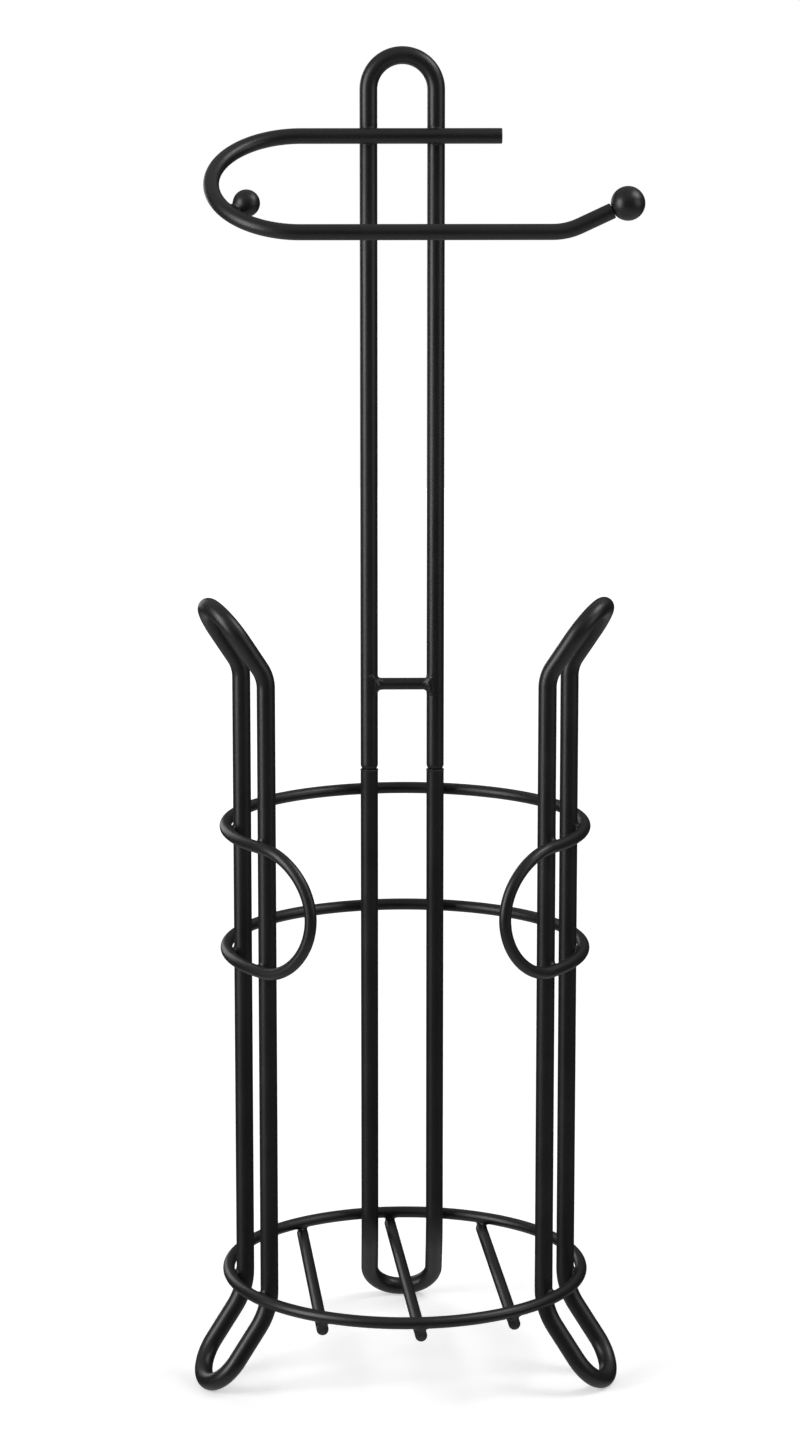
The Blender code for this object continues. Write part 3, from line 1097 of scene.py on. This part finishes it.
@dataclass
class JointPins(SubAssembly):
    """The two plated pins that stand in the rear tubes."""

    body: str = "lower_stand"
    pin: Bar = Bar(2.5 * MM, 40)
    tip: End = End(1.5 * MM, 1.0 * MM)

    def build(self) -> None:
        """Build both pins."""
        for side in ("left", "right"):
            low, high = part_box(f"joint_pin_{side}")
            middle = (low + high) / 2
            line = [Vector((middle.x, middle.y, z)) for z in (low.z, high.z)]
            mesh = self.bars.draw(f"plug_pin_{side}", line, self.pin, self.steel, self.tip)
            self.add(f"plug_pin_{side}", mesh, f"joint_pin_{side}", slot=Slot.STEEL)


# ---- upper post

@dataclass
class UpperPost(SubAssembly):
    """The hairpin of tube that carries the roll arm, with its crossbar."""

    body: str = "upper_section"
    # The pale mouths are partly a thinner coat and partly a painted highlight
    mouth: End = End(3.15 * MM, 2.1 * MM, wear_and_highlight=0.6, wear_and_highlight_length=0.4 * MM)
    settle: float = 0.2 * MM      # how far the mouths come down to meet the rims
    cut: End = End(2.65 * MM, 0.2 * MM)

    def build(self) -> None:
        """Build the post, the crossbar and its welds."""
        half, tube = self.datum.half_pitch, self.stock.tube.radius
        low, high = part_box("upper_post")
        across = Vector((half, 0.0, 0.0))
        centre = self.datum.post + UP * (high.z - tube - half)
        bend = arc(centre, Vector((-1.0, 0.0, 0.0)), UP, half, math.pi)
        foot = self.datum.post + UP * (low.z - self.settle)
        line = [foot - across, *bend, foot + across]
        post = self.bars.draw("post_tube", line, self.stock.open_tube, self.coat, self.mouth)
        self.add("post_tube", post, "upper_post")

        low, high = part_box("post_crossbar")
        level = UP * ((low.z + high.z) / 2)
        line = [Vector((x, self.datum.post.y, level.z)) for x in (low.x, high.x)]
        wire = Bar((high.z - low.z) / 2, 32)
        bar = self.bars.draw("cross_wire", line, wire, self.coat, self.cut)
        self.add("cross_wire", bar, "post_crossbar")
        seam = Seam(
            Joint.WIRE_INTO_TUBE, wire.radius, tube, Vector(),
            low=Vector((-2.0, -6.0, -7.5)) * MM, high=Vector((10.5, 6.0, 7.5)) * MM,
            bead=1.7 * MM, front=0.6, lumps=0.5 * MM, voxel=0.2 * MM,
        )
        places = [
            Matrix.Translation(self.datum.post - across + level),
            Matrix.Translation(self.datum.post + across + level) @ Matrix.Rotation(math.pi, 4, "Y"),
        ]
        mesh = WeldTree(Joint.WIRE_INTO_TUBE).draw("cross_wire_welds", seam, places, self.coat, 3.0)
        self.add("cross_wire_welds", mesh)


# ---- roll arm

@dataclass
class RollArm(SubAssembly):
    """The bent rod that holds the roll, with its end ball, stud and stop ball."""

    body: str = "upper_section"
    bar_end_x: float = 44.6 * MM
    loop_r: float = 39.5 * MM
    loop_x: float = -45.3 * MM
    loop_tilt: float = math.radians(61.4)
    knee_x: float = 70.0 * MM
    knee_r: float = 28.0 * MM
    rise: float = math.radians(25.0)
    tip_length: float = 21.6 * MM
    end_ball_r: float = 7.5 * MM
    stop_ball_r: float = 6.0 * MM
    hole_r: float = 2.35 * MM
    hole_depth: float = 8.3 * MM
    stud_r: float = 2.0 * MM
    stud_depth: float = 8.0 * MM
    settle: float = 0.2 * MM      # how far the tip comes out to meet the end ball
    # The pale tip is partly a thinner coat and partly a painted highlight
    cut: End = End(3.15 * MM, 0.45 * MM, wear_and_highlight=0.6, wear_and_highlight_length=0.4 * MM)

    def __post_init__(self) -> None:
        """Work out where the arm runs."""
        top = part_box("roll_arm")[1]
        setback = self.stock.tube.radius + self.stock.gap + self.stock.rod.radius
        self.bar = self.datum.post + Vector((0.0, -setback, top.z - self.stock.rod.radius))
        self.drop = Vector((0.0, -math.sin(self.loop_tilt), -math.cos(self.loop_tilt)))
        self.face = Vector((0.0, -math.cos(self.loop_tilt), math.sin(self.loop_tilt)))
        self.loop = self.bar + Vector((self.loop_x, 0.0, 0.0)) + self.drop * self.loop_r
        self.tip_axis = Vector((math.cos(self.rise), 0.0, math.sin(self.rise)))
        self.corner = self.bar + self.drop * (2 * self.loop_r) + Vector((self.knee_x, 0.0, 0.0))
        self.tip = self.corner + self.tip_axis * (self.tip_length + self.settle)

    def line(self) -> list[Vector]:
        """Centreline of the arm.

        Returns:
            Points along the top bar, round the loop and out to the tip.
        """
        left = Vector((-1.0, 0.0, 0.0))
        points = [self.bar + Vector((self.bar_end_x, 0.0, 0.0))]
        points += arc(self.loop, -self.drop, left, self.loop_r, math.pi, BEND_STEP / 1.5)
        points += knee(self.corner + left, self.corner, self.tip, self.knee_r)
        return [*points, self.tip]

    def drilled(self, mesh: Mesh) -> Mesh:
        """Sink the stud's hole into the arm's tip.

        Args:
            mesh: The arm, closed by a flat cap at its tip.

        Returns:
            The arm with the hole in it.
        """
        shape = bmesh.new()
        shape.from_mesh(mesh)
        cap = min(
            (face for face in shape.faces if len(face.verts) > 4),
            key=lambda face: (face.calc_center_median() - self.tip).length,
        )
        rim = list(cap.verts)
        shape.faces.remove(cap)
        for depth in (0.0, self.hole_depth):
            ring = []
            for vert in rim:
                spoke = vert.co - self.tip
                spoke -= self.tip_axis * spoke.dot(self.tip_axis)
                place = self.tip + spoke.normalized() * self.hole_r - self.tip_axis * depth
                ring.append(shape.verts.new(place))
            for i, vert in enumerate(rim):
                j = (i + 1) % len(rim)
                shape.faces.new((vert, rim[j], ring[j], ring[i]))
            rim = ring
        shape.faces.new(rim)
        bmesh.ops.recalc_face_normals(shape, faces=shape.faces)
        for face in shape.faces:
            face.smooth = len(face.verts) == 4
        mesh = baked(shape, mesh.name, self.coat)
        mesh.set_sharp_from_angle(angle=CREASE)
        return mesh

    def ball_profile(self, radius: float, hole: bool) -> Profile:
        """Profile of a ball, drilled from below where it takes a stud.

        Args:
            radius: Radius of the ball.
            hole: Whether it is drilled.

        Returns:
            Radius and height of each corner.
        """
        edge, count = 0.25 * MM, 48
        mouth = math.pi - math.asin((self.hole_r + edge) / radius) if hole else math.pi
        profile = [
            (radius * math.sin(mouth * i / count), radius * math.cos(mouth * i / count))
            for i in range(count + 1)
        ]
        profile[0] = (0.0, radius)
        if not hole:
            return [*profile[:-1], (0.0, -radius)]
        low = -math.sqrt(radius ** 2 - self.hole_r ** 2)
        inner = low + self.hole_depth
        return [*profile, (self.hole_r, profile[-1][1] + 0.2 * MM), (self.hole_r, inner), (0.0, inner)]

    def stud_profile(self) -> Profile:
        """Profile of the stud, broken at both ends.

        Returns:
            Radius and height of each corner.
        """
        end, side, edge = self.stud_depth, self.stud_r, 0.4 * MM
        upper = [(side, end - edge), (side - edge, end), (0.0, end)]
        return [(radius, -height) for radius, height in reversed(upper)] + upper

    def build(self) -> None:
        """Build the arm, both balls, the stud and the welds."""
        arm = self.bars.draw("arm_rod", self.line(), self.stock.rod, self.coat, self.cut)
        self.add("arm_rod", self.drilled(arm), "roll_arm")

        place = along(self.tip_axis, self.tip - self.tip_axis * self.settle)
        stud = turned("tip_stud", self.stud_profile(), place, self.coat)
        self.add("tip_stud", stud, "end_ball_stud")

        ball_centre, knob_centre = (
            (low + high) / 2 for low, high in map(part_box, ("end_ball", "stop_ball"))
        )
        for name, node, centre, axis, radius, hole in (
            ("tip_ball", "end_ball", ball_centre, self.tip_axis, self.end_ball_r, True),
            ("stop_knob", "stop_ball", knob_centre, knob_centre - self.loop, self.stop_ball_r, False),
        ):
            profile = self.ball_profile(radius, hole)
            self.add(name, turned(name, profile, along(axis, centre), self.coat), node)
        self.weld_bar()
        self.weld_knob(knob_centre)

    def weld_bar(self) -> None:
        """Weld the top bar to the two posts."""
        rod, tube = self.stock.rod.radius, self.stock.tube.radius
        setback = rod + tube + self.stock.gap
        seam = Seam(
            Joint.BAR_ON_TUBE, rod, tube, Vector((0.0, setback, 0.0)),
            low=Vector((-8.0 * MM, -rod - 2.0 * MM, -8.0 * MM)),
            high=Vector((8.0 * MM, setback + tube, 8.0 * MM)),
        )
        places = [
            Matrix.Translation(self.bar + Vector((side * self.datum.half_pitch, 0.0, 0.0)))
            for side in (-1.0, 1.0)
        ]
        mesh = WeldTree(Joint.BAR_ON_TUBE).draw("arm_welds", seam, places, self.coat, 5.0)
        self.add("arm_welds", mesh)

    def weld_knob(self, centre: Vector) -> None:
        """Weld the stop ball into the loop.

        Args:
            centre: Middle of the stop ball.
        """
        across = Vector((1.0, 0.0, 0.0))
        axes = Matrix((across, self.face.cross(across), self.face)).transposed().to_4x4()
        place = Matrix.Translation(self.loop) @ axes
        offset = place.inverted() @ centre
        outwards = Vector((offset.x, offset.y, 0.0)).normalized() * self.loop_r
        contact = offset.lerp(outwards, 0.5)
        span = Vector((8.0, 8.0, 8.0)) * MM
        seam = Seam(
            Joint.BALL_IN_LOOP, self.stock.rod.radius, self.stop_ball_r, offset, self.loop_r,
            contact - span, contact + span, bead=2.4 * MM, lumps=0.08 * MM, voxel=0.25 * MM,
        )
        mesh = WeldTree(Joint.BALL_IN_LOOP).draw("stop_knob_weld", seam, [place], self.coat, 8.0)
        self.add("stop_knob_weld", mesh)


# ---- studio

@dataclass(frozen=True)
class SoftBox:
    """A rectangular soft light, aimed at the object."""

    name: str
    azimuth: float                # degrees from the front, towards the right
    elevation: float
    distance: float
    width: float
    height: float
    power: float


@dataclass
class Studio:
    """Pale floor, white surround, soft boxes and the camera."""

    aim: Vector = field(default_factory=lambda: Vector((0.0, 0.0, 0.3)))
    boxes: Sequence[SoftBox] = (
        SoftBox("key", -63.0, 12.0, 1.5, 0.75, 1.2, 18.0),
        SoftBox("side", 66.0, 12.0, 1.5, 0.9, 0.8, 3.2),
        SoftBox("side_high", 84.0, 50.0, 1.4, 0.7, 0.6, 7.0),
        SoftBox("rim", -150.0, 8.0, 1.8, 0.7, 0.9, 3.0),
    )
    floor_colour: str = "#f4f4f4"
    floor_radius: float = 3.0
    glow_near: float = 0.42       # what the floor adds to its own brightness under the object
    glow_far: float = 0.95        # and at its edge
    horizon: float = 0.03         # what the object sees of the studio at its own height
    ceiling: float = 0.4
    bounce: float = 0.5           # what it sees of the floor
    camera_place: tuple[float, float, float] = (-0.03787, -1.82182, 0.64464)
    camera_pitch: float = -0.18851
    camera_yaw: float = -0.01725
    lens: float = 104.18

    def build(self) -> None:
        """Set up the whole studio."""
        self.lay_floor()
        self.hang_surround()
        for box in self.boxes:
            self.light(box)
        self.set_camera()
        bpy.context.scene.view_settings.view_transform = "Standard"

    def lay_floor(self) -> None:
        """Lay a round pale floor that grows white away from the object."""
        # Matt paper has no gloss, so the floor shows soft shadow and no reflection
        material, tree, shader, place = Finish("paper_matt_white").start()
        away = add(tree, "ShaderNodeVectorMath", {0: place}, operation="LENGTH")
        glow = add(tree, "ShaderNodeMapRange", {
            "Value": away.outputs["Value"], "From Min": 0.2, "From Max": self.floor_radius,
            "To Min": self.glow_near, "To Max": self.glow_far,
        })
        seen = add(tree, "ShaderNodeLightPath").outputs["Is Camera Ray"]
        feed(shader, {
            "Base Color": linear(self.floor_colour), "Roughness": 0.9, "Specular IOR Level": 0.0,
            "Emission Color": (1.0, 1.0, 1.0, 1.0),
            "Emission Strength": add(tree, MATH, {0: glow, 1: seen}, operation="MULTIPLY"),
        })

        shape = bmesh.new()
        bmesh.ops.create_circle(shape, cap_ends=True, segments=96, radius=self.floor_radius)
        floor = bpy.data.objects.new("studio_floor", baked(shape, "studio_floor", material))
        bpy.context.scene.collection.objects.link(floor)
        floor.visible_glossy = False

    def hang_surround(self) -> None:
        """Surround the object with white that lights it only dimly."""
        world = bpy.data.worlds.new("studio")
        world.use_nodes = True
        tree = world.node_tree
        direction = add(tree, "ShaderNodeTexCoord").outputs["Generated"]
        split = add(tree, "ShaderNodeSeparateXYZ", {0: direction})
        below, above = (
            add(tree, "ShaderNodeMapRange", {
                "Value": split.outputs["Z"], "From Min": near, "From Max": far,
                "To Min": self.horizon, "To Max": reached,
            }, interpolation_type="SMOOTHSTEP")
            for near, far, reached in ((-0.3, -0.75, self.bounce), (0.2, 0.75, self.ceiling))
        )
        level = add(tree, MATH, {0: below, 1: above}, operation="MAXIMUM")
        seen = add(tree, "ShaderNodeLightPath").outputs["Is Camera Ray"]
        level = add(tree, MATH, {0: level, 1: seen}, operation="MAXIMUM")
        feed(tree.nodes["Background"], {"Color": (1.0, 1.0, 1.0, 1.0), "Strength": level})
        bpy.context.scene.world = world

    def light(self, box: SoftBox) -> None:
        """Hang one soft box.

        Args:
            box: Its place, size and power.
        """
        lamp = bpy.data.lights.new(box.name, "AREA")
        lamp.shape = "RECTANGLE"
        lamp.size, lamp.size_y, lamp.energy = box.width, box.height, box.power
        hung = bpy.data.objects.new(box.name, lamp)
        around, above = math.radians(box.azimuth), math.radians(box.elevation)
        towards = Vector((
            math.sin(around) * math.cos(above), -math.cos(around) * math.cos(above), math.sin(above),
        ))
        hung.location = self.aim + towards * box.distance
        hung.rotation_euler = towards.to_track_quat("Z", "Y").to_euler()
        bpy.context.scene.collection.objects.link(hung)

    def set_camera(self) -> None:
        """Put the camera in front of the object, slightly above it."""
        camera = bpy.data.cameras.new("camera")
        camera.lens = self.lens
        camera.clip_start, camera.clip_end = 0.05, 20.0
        stand = bpy.data.objects.new("camera", camera)
        stand.location = self.camera_place
        stand.rotation_euler = (math.pi / 2 + self.camera_pitch, 0.0, self.camera_yaw)
        bpy.context.scene.collection.objects.link(stand)
        bpy.context.scene.camera = stand


def main() -> None:
    """Build every sub-assembly and log its pieces, then the studio."""
    logging.basicConfig(level=logging.INFO, format="%(message)s")
    stock = Stock()
    shared = {
        "stock": stock, "datum": Datum.read(stock),
        "bars": BarTree("round_stock_on_centreline"),
        "coat": SatinPowderCoat().make(), "steel": ZincPlatedSteel().make(),
    }
    legs = LegFrames(**shared)
    basket = WireBasket(**shared, tube_angles=legs.tube_angles(), tube_circle=legs.circle)
    for part in (legs, basket, JointPins(**shared), UpperPost(**shared), RollArm(**shared)):
        part.build()
        part.report()
    Studio().build()


if __name__ == "__main__":
    main()
